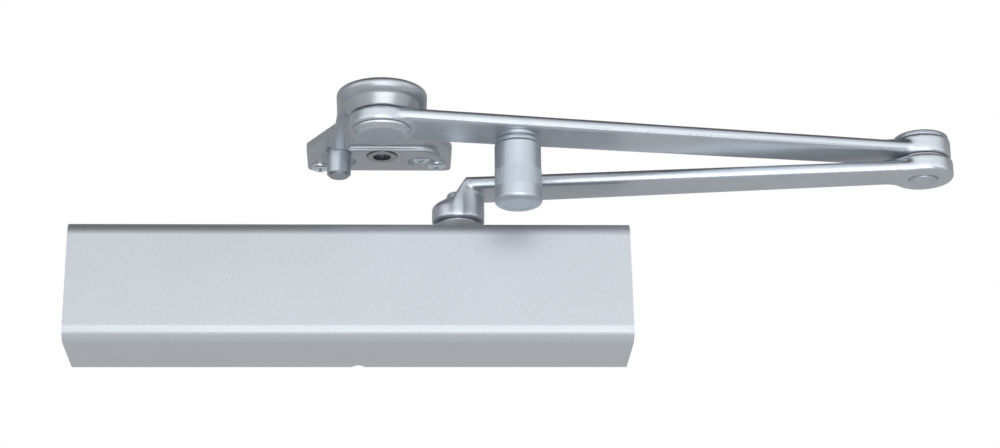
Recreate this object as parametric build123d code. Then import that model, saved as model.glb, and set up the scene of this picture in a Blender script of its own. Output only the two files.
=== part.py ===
from build123d import *
from math import acos, atan2, ceil, cos, degrees, hypot, pi, radians, sin, sqrt, tan
import os

# Parallel arm door closer, in millimetres.
# X runs along the door, Y points into the door and Z is up.
# The origin is on the door face, at the centre of the four door screws.

# Clearances between pieces
running_gap = 0.05
seat_gap = 0.02
free_gap = 0.35
screw_gap = 0.15

# Cover, a sheet wrap with flat ends
cover_length = 311.0
cover_depth = 53.0
cover_height = 68.4
cover_sheet = 1.5
cover_bend = 8.0
cover_side_lean = 0.9
cover_end_gap = 0.4
cover_notch_radius = 3.2
cover_notch_x = 4.5
cover_screw_radius = 2.0
cover_screw_head_radius = 4.2
cover_screw_head_height = 2.4
cover_screw_grip = 5.0
cover_screw_y = -11.0

# Housing casting
bore_radius = 20.0
barrel_wall = 4.6
bore_axis_y = -26.0
base_thickness = 7.0
base_side_gap = 4.2
base_corner_radius = 6.0
end_lug_thickness = 6.5
end_lug_half_height = 11.0
end_lug_depth = 17.5
door_screw_spacing_x = 282.0
door_screw_spacing_z = 38.1
door_screw_hole_radius = 3.4
door_screw_boss_radius = 7.0
door_screw_boss_height = 2.5
spring_end_x = -130.0
boss_radius = 18.5
boss_side_gap = 1.7
rib_thickness = 5.0
rib_side_gap = 8.7
rib_places = (-98.0, -50.0, 0.0)

# Pinion and rack, cut with the same teeth
pinion_x = 60.4
tooth_module = 2.0
tooth_count = 12
tooth_pressure_angle = 25.0
tooth_backlash = 0.2
tooth_root_gap = 0.5
rack_tip_gap = 0.5
pinion_tooth_half_height = 11.5
journal_radius = 9.0
square_width = 12.4
square_fit = 0.1
bearing_radius = 15.0
bearing_tooth_gap = 2.5
bearing_wall_height = 4.0
cap_socket_width = 12.0
neck_radius = 12.6
neck_height = 6.5
seal_radius = 11.4
collar_top_radius = 13.4
collar_mid_radius = 14.0
collar_foot_radius = 15.6
collar_foot_height = 3.6

# Piston
arm_swing = 123.4
piston_head = 13.0
slot_end_gap = 2.0
piston_end_gap = 0.4
piston_seal_width = 4.0
piston_seal_depth = 2.4
check_ball_radius = 2.6
ball_retainer_thickness = 1.2
check_port_radius = 2.0

# Spring and its seat
spring_wire_radius = 2.6
spring_radius = 16.6
spring_turns = 13
seat_thickness = 4.0
seat_to_plug = 12.0

# End plugs
plug_thickness = 10.0
plug_flange = 3.0
plug_flange_radius = 22.4
plug_socket_width = 10.0
plug_socket_depth = 5.0
plug_seal_width = 3.0
plug_seal_depth = 2.0

# Power adjusting screw
power_screw_radius = 5.0
power_screw_collar_radius = 8.0
power_screw_collar_height = 2.5
power_screw_stub = 6.0
power_screw_socket_width = 5.0

# Regulating valves in the front of the housing
valve_places = (("backcheck_valve", 86.0), ("sweep_valve", 105.0), ("latch_valve", 124.0))
valve_above_block = 6.4
valve_radius = 3.6
valve_head_radius = 4.2
valve_head_height = 4.0
valve_length = 13.0
valve_tip_length = 3.5
valve_socket_width = 3.0
valve_seal_width = 1.8
valve_seal_depth = 0.9
valve_block_half_width = 8.5
valve_block_round = 5.0
valve_front_y = -50.0

# Levels of the arms, each from the piece below it
hub_above_cover = 7.8
hub_rim_height = 9.2
hub_height = 14.2
arm_above_hub = 2.4
arm_thickness = 7.0
elbow_eye_height = 10.3
elbow_washer_thickness = 0.8
forearm_thickness = 6.7
forearm_eye_height = 10.9
forearm_lift = 0.8
forearm_fall = 3.8
elbow_cap_thickness = 2.8

# Main arm, drawn along U from the pinion to the elbow
elbow_x = 320.1
elbow_y = -53.2
hub_radius = 14.8
hub_crown_radius = 7.6
hub_round = 2.5
arm_front_near = 13.8
arm_front_far = 16.2
arm_back_near = 14.6
arm_back_far = 6.2
arm_edge_radius = 2.3
arm_corner_radius = 3.0
neck_foot_u = -2.4
neck_foot_height = 10.4
neck_shoulder_u = 5.6
elbow_eye_radius = 17.1
eye_ramp_length = 8.0
eye_waist_radius = 9.0
arm_screw_radius = 4.0
arm_screw_head_radius = 6.2
arm_screw_head_height = 2.3
arm_screw_length = 16.0
arm_screw_socket_width = 5.0
arm_washer_radius = 6.8
arm_washer_thickness = 1.0
screw_pocket_radius = 7.4

# Elbow joint
stud_radius = 5.5
stud_head_radius = 6.3
stud_head_height = 1.8
stud_head_proud = 0.4
elbow_bush_radius = 7.45
elbow_washer_radius = 15.0
elbow_cap_radius = 15.3
elbow_cap_round = 1.2

# Forearm, drawn along U from the bracket pivot to the elbow
bracket_x = 17.4
pivot_y = -107.1
forearm_half_near = 16.5
forearm_half_far = 12.3
forearm_edge_radius = 2.2
upper_eye_radius = 16.3
pivot_eye_radius = 17.2
pivot_eye_drop = 4.1
pivot_eye_rise = 3.75
pivot_bush_wall = 2.0
pivot_radius = 8.0
pivot_head_radius = 16.1
pivot_head_face_radius = 13.5
pivot_head_rim = 1.2
pivot_head_cone = 2.0

# Hold-open knob under the forearm
hold_open_radius = 74.7
knob_length = 34.0
knob_band_height = 9.1
knob_under_bar = 5.8
knob_radius = 12.6
knob_band_radius = 13.0
knob_round = 2.0
knob_face_radius = 9.0
knob_face_depth = 0.3
knob_floor_thickness = 5.4
guide_tube_radius = 8.0
guide_bore_radius = 5.2
guide_collar_radius = 12.3
guide_flange_radius = 11.6
guide_flange_height = 2.6
plunger_radius = 3.1
plunger_collar_radius = 4.85
plunger_collar_rise = 8.5
plunger_collar_height = 4.0
plunger_tip_drop = 0.4
plunger_spring_wire = 0.6
plunger_spring_turns = 5

# Soffit bracket
bracket_rise = 17.25
bracket_thickness = 4.5
disc_radius = 24.4
disc_rim = 6.5
disc_top_round = 2.2
disc_low_round = 3.6
boss_top_radius = 20.0
boss_low_radius = 17.0
boss_rise = 4.25
boss_clearance = 0.7
plate_left = 42.5
plate_right = 39.5
plate_front_y = -35.3
plate_back_y = -3.0
plate_neck_y = -67.7
plate_corner_radius = 3.0
pad_drop = 2.8
pad_half_length = 32.5
pad_front_y = -41.6
pad_back_y = -16.5
peg_radius = 6.7
peg_from_pivot = 71.9
peg_drop = 20.6
peg_chamfer = 1.4
peg_gap = 1.9
rail_near_radius = 3.4
rail_far_radius = 5.0
rail_drop = 2.4
rail_start = 18.0
catch_radius = 8.4
catch_hole_radius = 5.0
catch_proud = 0.4
catch_height = 4.0
bracket_screw_radius = 3.15
bracket_screw_head_radius = 5.3
bracket_screw_head_height = 2.1
bracket_screw_length = 16.0
bracket_screw_recess_width = 1.3
bracket_screw_recess_length = 6.0
bracket_screw_recess_depth = 1.2
spot_face_radius = 7.4
outer_screw_left = 35.2
outer_screw_left_y = -9.2
outer_screw_right = 31.2
outer_screw_right_y = -13.0
inner_screw_half_spacing = 22.2
inner_screw_y = -23.0

# Sizes that follow from the ones above
pitch_radius = tooth_module * tooth_count / 2
tip_radius = pitch_radius + tooth_module
root_radius = pitch_radius - tooth_module - tooth_root_gap
piston_travel = pitch_radius * radians(arm_swing)
slot_left_x = pinion_x - tip_radius - slot_end_gap
slot_right_x = pinion_x + piston_travel + tip_radius + slot_end_gap
piston_left_x = slot_left_x - piston_head
piston_right_x = slot_right_x + piston_head
head_plug_x = piston_right_x + piston_end_gap
head_end_x = head_plug_x + plug_thickness
spring_plug_x = spring_end_x + plug_thickness
spring_left_x = spring_plug_x + seat_to_plug + seat_thickness
cover_top = cover_height / 2
cover_inside = cover_top - cover_sheet
base_half_height = cover_inside - base_side_gap
boss_half_height = cover_inside - boss_side_gap
rib_half_height = cover_inside - rib_side_gap
valve_block_low = -boss_half_height
valve_drop = boss_half_height - valve_above_block
hub_bottom = cover_top + hub_above_cover
hub_top = hub_bottom + hub_height
arm_bottom = hub_top + arm_above_hub
arm_top = arm_bottom + arm_thickness
elbow_eye_top = arm_bottom + elbow_eye_height
forearm_bottom = elbow_eye_top + elbow_washer_thickness + free_gap
forearm_eye_top = forearm_bottom + forearm_eye_height
pivot_eye_bottom = forearm_bottom - pivot_eye_drop
pivot_eye_top = forearm_bottom + pivot_eye_rise
boss_low = forearm_bottom + boss_rise
bracket_top = forearm_bottom + bracket_rise
peg_bottom = bracket_top - peg_drop
arm_length = hypot(elbow_x - pinion_x, elbow_y - bore_axis_y)
arm_angle = degrees(atan2(elbow_y - bore_axis_y, elbow_x - pinion_x))
forearm_length = hypot(elbow_x - bracket_x, elbow_y - pivot_y)
forearm_angle = degrees(atan2(elbow_y - pivot_y, elbow_x - bracket_x))
bar_slope = forearm_fall / forearm_length
bar_far_bottom = forearm_bottom + forearm_lift
bar_near_bottom = bar_far_bottom - forearm_fall
knob_seat = bar_near_bottom + (hold_open_radius - guide_collar_radius) * bar_slope - seat_gap
knob_bar_top = bar_near_bottom + hold_open_radius * bar_slope + forearm_thickness
knob_top = knob_seat - knob_under_bar
knob_bottom = knob_top - knob_length
knob_band_top = knob_bottom + knob_band_height
knob_floor = knob_bottom + knob_floor_thickness
plunger_collar_bottom = knob_floor + plunger_collar_rise
plate_bottom = bracket_top - bracket_thickness
pad_bottom = plate_bottom - pad_drop
bearing_top = boss_half_height - bearing_wall_height
bearing_height = bearing_top - pinion_tooth_half_height - bearing_tooth_gap


def upright(x, y, low, high, radius):
    """Cylinder standing between two levels."""
    return Pos(x, y, (low + high) / 2) * Cylinder(radius, high - low)


def upright_ring(x, y, low, high, outer, inner):
    return upright(x, y, low, high, outer) - upright(x, y, low, high, inner)


def lying(x_low, x_high, radius, y=bore_axis_y, z=0.0):
    """Cylinder along X."""
    return Pos((x_low + x_high) / 2, y, z) * Rot(0, 90, 0) * Cylinder(radius, x_high - x_low)


def lying_ring(x_low, x_high, outer, inner):
    return lying(x_low, x_high, outer) - lying(x_low, x_high, inner)


def inward(x, z, y_low, y_high, radius):
    """Cylinder along Y."""
    return Pos(x, (y_low + y_high) / 2, z) * Rot(90, 0, 0) * Cylinder(radius, y_high - y_low)


def block(x_low, x_high, y_low, y_high, z_low, z_high):
    middle = Pos((x_low + x_high) / 2, (y_low + y_high) / 2, (z_low + z_high) / 2)
    return middle * Box(x_high - x_low, y_high - y_low, z_high - z_low)


def slab(outline, low, high):
    """Closed outline in plan, raised from one level to another."""
    face = make_face(Polyline(*outline, close=True))
    return Pos(0, 0, low) * extrude(face, high - low)


def hexagon_hole(width, depth):
    """Socket for a hexagon key, measured across its flats, going down from its mouth."""
    return Pos(0, 0, -depth / 2) * extrude(RegularPolygon(width / sqrt(3), 6), depth / 2, both=True)


def pinion_place():
    return Pos(pinion_x, bore_axis_y, 0)


def arm_place():
    return pinion_place() * Rot(0, 0, arm_angle)


def pivot_place():
    return Pos(bracket_x, pivot_y, 0)


def forearm_place():
    return pivot_place() * Rot(0, 0, forearm_angle)


def knob_place():
    return forearm_place() * Pos(hold_open_radius, 0, 0)


def cover_shell(shrink, back):
    """The cover's outside, or its inside when shrunk by the sheet."""
    half_foot = cover_length / 2 - shrink
    half_head = half_foot - cover_side_lean
    half_height = cover_height / 2 - shrink
    front = -cover_depth + shrink
    outline = [(-half_foot, -half_height), (half_foot, -half_height)]
    outline += [(half_head, half_height), (-half_head, half_height)]
    face = make_face(Polyline(*outline, close=True))
    body = extrude(Plane.XZ.offset(-back) * face, back - front)
    long_edges = body.edges().filter_by(Axis.X).group_by(Axis.Y)[0]
    return fillet(long_edges, cover_bend - shrink)


def cover():
    shell = cover_shell(0, 0) - cover_shell(cover_sheet, cover_sheet)
    opening = neck_radius + free_gap
    inside_top = cover_top - 2 * cover_sheet
    shell -= upright(pinion_x, bore_axis_y, inside_top, cover_top + cover_sheet, opening)
    shell -= block(
        pinion_x - opening, pinion_x + opening, bore_axis_y, cover_sheet,
        inside_top, cover_top + cover_sheet,
    )
    shell -= upright(
        cover_notch_x, 0, -cover_top - cover_sheet, -cover_top + 2 * cover_sheet, cover_notch_radius
    )
    shell -= lying(-cover_length, cover_length, cover_screw_radius + screw_gap, cover_screw_y)
    return shell


def cover_end_at_screw():
    """Half length of the cover's outside at the lowest point of its end screws' heads."""
    share = 0.5 - cover_screw_head_radius / cover_height
    return cover_length / 2 - cover_side_lean * share


def cover_screws():
    outer = cover_end_at_screw() + seat_gap
    head = lying(outer, outer + cover_screw_head_height, cover_screw_head_radius, cover_screw_y)
    face = head.faces().sort_by(Axis.X)[-1]
    head = fillet(face.edges(), cover_screw_head_height / 2)
    slot = block(
        outer + cover_screw_head_height / 2, outer + 2 * cover_screw_head_height,
        cover_screw_y - cover_screw_head_radius, cover_screw_y + cover_screw_head_radius,
        -cover_screw_radius / 4, cover_screw_radius / 4,
    )
    right = head - slot + lying(outer - cover_screw_grip, outer, cover_screw_radius, cover_screw_y)
    return Compound([right, mirror(right, Plane.YZ)])


def housing():
    half_length = cover_length / 2 - cover_sheet - cover_side_lean - cover_end_gap
    base = block(
        -half_length, half_length, -base_thickness, 0, -base_half_height, base_half_height
    )
    base = fillet(base.edges().filter_by(Axis.Y), base_corner_radius)
    barrel = lying(spring_end_x, head_end_x, bore_radius + barrel_wall)
    saddle = block(
        spring_end_x, head_end_x, bore_axis_y, 0,
        -bore_radius - barrel_wall, bore_radius + barrel_wall,
    )
    body = base + barrel + saddle
    for x in rib_places:
        body += block(
            x - rib_thickness / 2, x + rib_thickness / 2, bore_axis_y, 0,
            -base_half_height, base_half_height,
        )
    body += upright(pinion_x, bore_axis_y, -boss_half_height, boss_half_height, boss_radius)
    body += upright(
        pinion_x, bore_axis_y, boss_half_height, boss_half_height + neck_height, neck_radius
    )
    for side in (-1, 1):
        outer = side * half_length
        inner = side * (half_length - end_lug_thickness)
        body += block(
            min(outer, inner), max(outer, inner), -end_lug_depth, 0,
            -end_lug_half_height, end_lug_half_height,
        )
    for name, x in valve_places:
        boss = block(
            x - valve_block_half_width, x + valve_block_half_width,
            valve_front_y, bore_axis_y, valve_block_low, -bore_radius / 2,
        )
        lower_front = boss.edges().filter_by(Axis.X).group_by(Axis.Z)[0].group_by(Axis.Y)[0]
        body += fillet(lower_front, valve_block_round)
    body += block(
        valve_places[0][1], valve_places[-1][1], bore_axis_y, 0, valve_block_low, -bore_radius
    )
    for sx in (-1, 1):
        for sz in (-1, 1):
            x = sx * door_screw_spacing_x / 2
            z = sz * door_screw_spacing_z / 2
            face = -base_thickness - door_screw_boss_height
            body += inward(x, z, face, -base_thickness, door_screw_boss_radius)
            clear = inward(x, z, -cover_depth, face, door_screw_boss_radius)
            body -= clear
            body -= inward(x, z, face, 0, door_screw_hole_radius)
    body -= lying(spring_end_x, head_end_x, bore_radius)
    room = plug_flange_radius + free_gap
    body -= lying(spring_end_x - plug_flange - free_gap, spring_end_x, room)
    body -= lying(head_end_x, head_end_x + plug_flange + free_gap, room)
    body -= upright(pinion_x, bore_axis_y, -boss_half_height, bearing_top, bearing_radius)
    body -= upright(
        pinion_x, bore_axis_y, bearing_top, boss_half_height, journal_radius + free_gap
    )
    body -= upright(
        pinion_x, bore_axis_y, boss_half_height, boss_half_height + neck_height, seal_radius
    )
    for name, x in valve_places:
        body -= inward(x, -valve_drop, valve_front_y, valve_front_y + valve_length + free_gap,
                       valve_radius + running_gap)
        body -= inward(x, -valve_drop, valve_front_y, valve_front_y + valve_head_height + free_gap,
                       valve_head_radius + free_gap)
    body -= lying(-half_length, -half_length + end_lug_thickness, cover_screw_radius, cover_screw_y)
    body -= lying(half_length - end_lug_thickness, half_length, cover_screw_radius, cover_screw_y)
    return body


def pinion_collar():
    """Dust boot round the pinion, standing on the cover's top."""
    low = cover_top + seat_gap
    high = hub_bottom - 2 * free_gap
    neck_top = boss_half_height + neck_height
    profile = Polyline(
        (journal_radius + free_gap, neck_top + seat_gap),
        (journal_radius + free_gap, high),
        (collar_top_radius, high),
        (collar_mid_radius, low + collar_foot_height),
        (collar_foot_radius, low),
        (neck_radius + seat_gap, low),
        (neck_radius + seat_gap, neck_top + seat_gap),
        close=True,
    )
    return pinion_place() * revolve(make_face(Plane.XZ * profile), Axis.Z)


def pinion_seal():
    return upright_ring(
        pinion_x, bore_axis_y, boss_half_height, boss_half_height + neck_height,
        seal_radius - seat_gap, journal_radius + running_gap,
    )


def pinion_bearing(low):
    return upright_ring(
        pinion_x, bore_axis_y, low, low + bearing_height,
        bearing_radius - seat_gap, journal_radius + running_gap,
    )


def upper_pinion_bearing():
    return pinion_bearing(bearing_top - bearing_height)


def lower_pinion_bearing():
    return pinion_bearing(-bearing_top)


def lower_bearing_cap():
    cap = upright(pinion_x, bore_axis_y, -boss_half_height, -bearing_top, bearing_radius - seat_gap)
    socket = pinion_place() * Pos(0, 0, -boss_half_height + bearing_wall_height / 2)
    return cap - socket * hexagon_hole(cap_socket_width, bearing_wall_height / 2)


def end_plug(face_x, toward):
    """Threaded plug with a flange outside the bore, toward is the side that it faces."""
    outer = spring_end_x if toward < 0 else head_end_x
    inner = face_x
    plug = lying(min(outer, inner), max(outer, inner), bore_radius - seat_gap)
    rim = outer + toward * plug_flange
    plug += lying(min(outer, rim), max(outer, rim), plug_flange_radius)
    groove = (outer + inner) / 2
    plug -= lying_ring(
        groove - plug_seal_width / 2, groove + plug_seal_width / 2,
        bore_radius, bore_radius - plug_seal_depth,
    )
    return plug


def spring_end_plug():
    plug = end_plug(spring_plug_x, -1)
    return plug - lying(
        spring_end_x - plug_flange, spring_plug_x, power_screw_radius + running_gap
    )


def head_end_plug():
    plug = end_plug(head_plug_x, 1)
    mouth = Pos(head_end_x + plug_flange, bore_axis_y, 0) * Rot(0, 90, 0)
    return plug - mouth * hexagon_hole(plug_socket_width, plug_socket_depth)


def plug_seal(middle):
    return lying_ring(
        middle - plug_seal_width / 2 + seat_gap, middle + plug_seal_width / 2 - seat_gap,
        bore_radius - seat_gap, bore_radius - plug_seal_depth + seat_gap,
    )


def end_plug_seals():
    left = plug_seal((spring_end_x + spring_plug_x) / 2)
    right = plug_seal((head_end_x + head_plug_x) / 2)
    return Compound([left, right])


def power_adjusting_screw():
    start = spring_end_x - plug_flange - power_screw_stub
    collar = spring_plug_x + running_gap
    end = spring_left_x + seat_to_plug
    screw = lying(start, end, power_screw_radius)
    screw += lying(collar, collar + power_screw_collar_height, power_screw_collar_radius)
    mouth = Pos(start, bore_axis_y, 0) * Rot(0, -90, 0)
    return screw - mouth * hexagon_hole(power_screw_socket_width, power_screw_stub)


def spring_seat():
    return lying_ring(
        spring_left_x - seat_thickness, spring_left_x,
        bore_radius - running_gap, power_screw_radius + running_gap,
    )


def coil(radius, wire, height, turns):
    """Compression spring standing on the origin, its wire within its height."""
    rise = height - 2 * wire
    path = Helix(pitch=rise / turns, height=rise, radius=radius)
    start = Plane(path @ 0, z_dir=path % 0)
    return Pos(0, 0, wire) * sweep(start * Circle(wire), path=path, is_frenet=True)


def closing_spring():
    length = piston_left_x - spring_left_x - 2 * seat_gap
    spring = coil(spring_radius, spring_wire_radius, length, spring_turns)
    return Pos(spring_left_x + seat_gap, bore_axis_y, 0) * Rot(0, 90, 0) * spring


def rack_piston():
    body = lying(piston_left_x, piston_right_x, bore_radius - running_gap)
    rack_root = bore_axis_y - pitch_radius - tooth_module - tooth_root_gap
    slot_back = bore_axis_y + tip_radius + rack_tip_gap
    body -= block(slot_left_x, slot_right_x, rack_root, slot_back, -bore_radius, bore_radius)
    pitch = pi * tooth_module
    slope = tan(radians(tooth_pressure_angle))
    rack_height = pinion_tooth_half_height + free_gap
    tip_rise = tooth_module - rack_tip_gap
    half_pitch_width = pitch / 4 - tooth_backlash / 2
    half_tip = half_pitch_width - tip_rise * slope
    half_root = half_pitch_width + (tooth_module + tooth_root_gap) * slope
    first = -ceil(tip_radius / pitch)
    last = ceil((piston_travel + tip_radius) / pitch)
    pitch_line = bore_axis_y - pitch_radius
    for number in range(first, last):
        x = pinion_x + (number + 0.5) * pitch
        if x - half_root < slot_left_x or x + half_root > slot_right_x:
            continue
        outline = [(x - half_root, rack_root), (x - half_tip, pitch_line + tip_rise)]
        outline += [(x + half_tip, pitch_line + tip_rise), (x + half_root, rack_root)]
        body += slab(outline, -rack_height, rack_height)
    seal_x = piston_right_x - piston_head / 2
    body -= lying_ring(
        seal_x - piston_seal_width / 2, seal_x + piston_seal_width / 2,
        bore_radius, bore_radius - piston_seal_depth,
    )
    body -= lying(slot_right_x - free_gap, piston_right_x, check_port_radius)
    body -= lying(
        piston_right_x - piston_head / 2, piston_right_x, check_ball_radius + free_gap
    )
    return body


def piston_seal():
    middle = piston_right_x - piston_head / 2
    return lying_ring(
        middle - piston_seal_width / 2 + seat_gap, middle + piston_seal_width / 2 - seat_gap,
        bore_radius - seat_gap, bore_radius - piston_seal_depth + seat_gap,
    )


def check_ball():
    x = piston_right_x - piston_head / 2 + check_ball_radius + seat_gap
    return Pos(x, bore_axis_y, 0) * Sphere(check_ball_radius)


def ball_retainer():
    return lying_ring(
        piston_right_x - ball_retainer_thickness, piston_right_x - seat_gap,
        check_ball_radius + free_gap - seat_gap, check_port_radius,
    )


def valve(x):
    """Needle valve with a socket head, in the front of the housing."""
    front = valve_front_y + running_gap
    tip = front + valve_length
    taper = tip - valve_tip_length
    body = inward(x, -valve_drop, front, taper, valve_radius)
    body += inward(x, -valve_drop, front, front + valve_head_height, valve_head_radius)
    cone = Cone(valve_radius, valve_radius / 3, valve_tip_length)
    body += Pos(x, (taper + tip) / 2, -valve_drop) * Rot(-90, 0, 0) * cone
    groove = front + valve_head_height * 2
    body -= inward(x, -valve_drop, groove, groove + valve_seal_width, valve_radius) - inward(
        x, -valve_drop, groove, groove + valve_seal_width, valve_radius - valve_seal_depth
    )
    mouth = Pos(x, front, -valve_drop) * Rot(90, 0, 0)
    return body - mouth * hexagon_hole(valve_socket_width, valve_head_height)


def involute(angle):
    return tan(angle) - angle


def pinion():
    """Toothed shaft, with a tooth facing the rack, round journals and a square end."""
    base = pitch_radius * cos(radians(tooth_pressure_angle))
    half_at_pitch = pi / tooth_count / 2 - tooth_backlash / pitch_radius / 2
    steps = 4
    flank = []
    for number in range(steps + 1):
        radius = base + (tip_radius - base) * number / steps
        turn = half_at_pitch + involute(radians(tooth_pressure_angle))
        turn -= involute(acos(base / radius))
        flank.append((radius, turn))
    flank.insert(0, (root_radius, flank[0][1]))
    outline = []
    for tooth in range(tooth_count):
        middle = -pi / 2 + 2 * pi * tooth / tooth_count
        for radius, turn in flank:
            outline.append((radius * cos(middle - turn), radius * sin(middle - turn)))
        for radius, turn in reversed(flank):
            outline.append((radius * cos(middle + turn), radius * sin(middle + turn)))
    teeth = slab(outline, -pinion_tooth_half_height, pinion_tooth_half_height)
    shaft = upright(0, 0, -bearing_top + free_gap, hub_bottom, journal_radius)
    square_top = hub_top - running_gap
    half = square_width / 2
    square = block(-half, half, -half, half, 0, square_top)
    shaft += Rot(0, 0, arm_angle) * (square - upright(0, 0, 0, hub_bottom, square_width))
    tapped = hub_top - arm_screw_length
    shaft -= upright(0, 0, tapped, hub_top, arm_screw_radius)
    return pinion_place() * (teeth + shaft)


def long_plan(corners, eye_u, eye_radius, waist_corners):
    """Bar's outline in plan with an eye at its far end, the inner corners beside the eye rounded."""
    plan = make_face(Polyline(*corners, close=True)) + Pos(eye_u, 0) * Circle(eye_radius)
    inner = [v for v in plan.vertices() if eye_u - eye_radius < v.X < eye_u]
    inner = [v for v in inner if abs(v.Y) < eye_radius - running_gap and waist_corners(v)]
    return fillet(inner, eye_waist_radius)


def eye_ramp(plan, eye_u, eye_radius, low, high, inset):
    """Slope from the bar's top up to the eye's top."""
    start = eye_u - eye_radius - eye_ramp_length
    side = Polyline(
        (start, low - inset),
        (eye_u, low - inset),
        (eye_u, high),
        (eye_u - eye_radius / 2, high),
        (start, low),
        close=True,
    )
    ramp = extrude(Plane.XZ * make_face(side), eye_radius, both=True)
    inner_plan = offset(plan, amount=-inset)
    return ramp & (Pos(0, 0, low - inset) * extrude(inner_plan, high - low + inset))


def main_arm():
    rim_top = hub_bottom + hub_rim_height
    profile = Polyline(
        (0, hub_bottom),
        (hub_radius, hub_bottom),
        (hub_radius, rim_top),
        (hub_crown_radius, hub_top),
        (0, hub_top),
        close=True,
    )
    hub = revolve(make_face(Plane.XZ * profile), Axis.Z)
    rim = [e for e in hub.edges() if abs(e.center().Z - rim_top) < running_gap]
    rim = [e for e in rim if e.length > hub_radius * pi]
    hub = fillet(rim, hub_round)
    side = Polyline(
        (neck_foot_u, rim_top - hub_round),
        (neck_foot_u, hub_bottom + neck_foot_height),
        (neck_shoulder_u, arm_top),
        (hub_radius, arm_top),
        (hub_radius, rim_top - hub_round),
        close=True,
    )
    neck = extrude(Plane.XZ * make_face(side), hub_radius, both=True)
    neck = neck & upright(0, 0, hub_bottom, arm_top, hub_radius)
    corners = [(neck_shoulder_u, -arm_front_near), (arm_length, -arm_front_far)]
    corners += [(arm_length, arm_back_far), (neck_shoulder_u, arm_back_near)]
    plan = long_plan(corners, arm_length, elbow_eye_radius, lambda v: v.Y > 0)
    square_end = [v for v in plan.vertices() if abs(v.X - neck_shoulder_u) < running_gap]
    plan = fillet(square_end, arm_corner_radius)
    bar = Pos(0, 0, arm_bottom) * extrude(plan, arm_thickness)
    bar = fillet(bar.edges().filter_by(Plane.XY), arm_edge_radius)
    ramp = eye_ramp(plan, arm_length, elbow_eye_radius, arm_top, elbow_eye_top, arm_edge_radius)
    eye = upright(
        arm_length, 0, arm_bottom + arm_edge_radius, elbow_eye_top, elbow_eye_radius - seat_gap
    )
    arm = hub + neck + bar + ramp + eye
    arm -= upright(0, 0, hub_top, arm_top + free_gap, screw_pocket_radius)
    hole = square_width + square_fit
    arm -= block(-hole / 2, hole / 2, -hole / 2, hole / 2, hub_bottom, hub_top)
    arm -= upright(arm_length, 0, arm_bottom, elbow_eye_top, elbow_bush_radius)
    return arm_place() * arm


def arm_washer():
    washer = upright_ring(
        0, 0, hub_top, hub_top + arm_washer_thickness,
        arm_washer_radius, arm_screw_radius + screw_gap,
    )
    return arm_place() * washer


def arm_screw():
    under = hub_top + arm_washer_thickness
    over = under + arm_screw_head_height
    screw = upright(0, 0, under, over, arm_screw_head_radius)
    screw = chamfer(screw.faces().sort_by(Axis.Z)[-1].edges(), screw_gap * 4)
    length = arm_screw_length - arm_washer_thickness
    screw += upright(0, 0, under - length, under, arm_screw_radius - seat_gap)
    socket = Pos(0, 0, over) * hexagon_hole(arm_screw_socket_width, arm_screw_head_height / 2)
    return arm_place() * (screw - socket)


def elbow_bush():
    bush = upright_ring(
        arm_length, 0, arm_bottom + stud_head_height + free_gap, elbow_eye_top,
        elbow_bush_radius - seat_gap, stud_radius + running_gap,
    )
    return arm_place() * bush


def elbow_washer():
    washer = upright_ring(
        arm_length, 0, elbow_eye_top, elbow_eye_top + elbow_washer_thickness,
        elbow_washer_radius, stud_radius + free_gap,
    )
    return arm_place() * washer


def boss_cone(extra):
    """The bracket's cone, or the room that the forearm leaves for it."""
    rise = bracket_top - disc_rim - boss_low
    middle = Pos(0, 0, boss_low - extra + rise / 2)
    return middle * Cone(boss_low_radius + extra, boss_top_radius + extra, rise)


def forearm():
    corners = [(0, -forearm_half_near), (forearm_length, -forearm_half_far)]
    corners += [(forearm_length, forearm_half_far), (0, forearm_half_near)]
    plan = long_plan(corners, forearm_length, upper_eye_radius, lambda v: True)
    bar = Pos(0, 0, bar_far_bottom) * extrude(plan, forearm_thickness)
    bar = fillet(bar.edges().filter_by(Plane.XY), forearm_edge_radius)
    hinge = Pos(forearm_length, 0, bar_far_bottom)
    bar = hinge * Rot(0, -degrees(atan2(forearm_fall, forearm_length)), 0) * hinge.inverse() * bar
    bar_top = bar_far_bottom + forearm_thickness
    ramp = eye_ramp(
        plan, forearm_length, upper_eye_radius, bar_top, forearm_eye_top, forearm_edge_radius
    )
    eye = upright(
        forearm_length, 0, forearm_bottom, forearm_eye_top, upper_eye_radius - seat_gap
    )
    eye = fillet(eye.faces().sort_by(Axis.Z)[0].edges(), forearm_edge_radius / 2)
    pivot = upright(0, 0, pivot_eye_bottom, pivot_eye_top, pivot_eye_radius)
    pivot = fillet(pivot.faces().sort_by(Axis.Z)[0].edges(), forearm_edge_radius / 2)
    arm = bar + ramp + eye + pivot
    arm -= boss_cone(boss_clearance)
    arm -= upright(0, 0, pivot_eye_top, bar_top, boss_low_radius + boss_clearance)
    arm -= upright(0, 0, pivot_eye_bottom, pivot_eye_top,
                   pivot_radius + running_gap + pivot_bush_wall)
    arm -= upright(forearm_length, 0, forearm_bottom, forearm_eye_top, stud_radius)
    arm -= upright(hold_open_radius, 0, knob_top, bar_top, plunger_radius + running_gap)
    return forearm_place() * arm


def elbow_stud():
    low = arm_bottom - stud_head_proud
    high = arm_bottom + stud_head_height
    stud = upright(0, 0, low, high, stud_head_radius)
    stud = fillet(stud.faces().sort_by(Axis.Z)[0].edges(), stud_head_height / 3)
    stud += upright(0, 0, high, forearm_eye_top, stud_radius - seat_gap)
    return forearm_place() * Pos(forearm_length, 0, 0) * stud


def elbow_cap():
    high = forearm_eye_top + elbow_cap_thickness
    cap = upright(0, 0, forearm_eye_top, high, elbow_cap_radius)
    cap = fillet(cap.faces().sort_by(Axis.Z)[-1].edges(), elbow_cap_round)
    return forearm_place() * Pos(forearm_length, 0, 0) * cap


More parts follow.
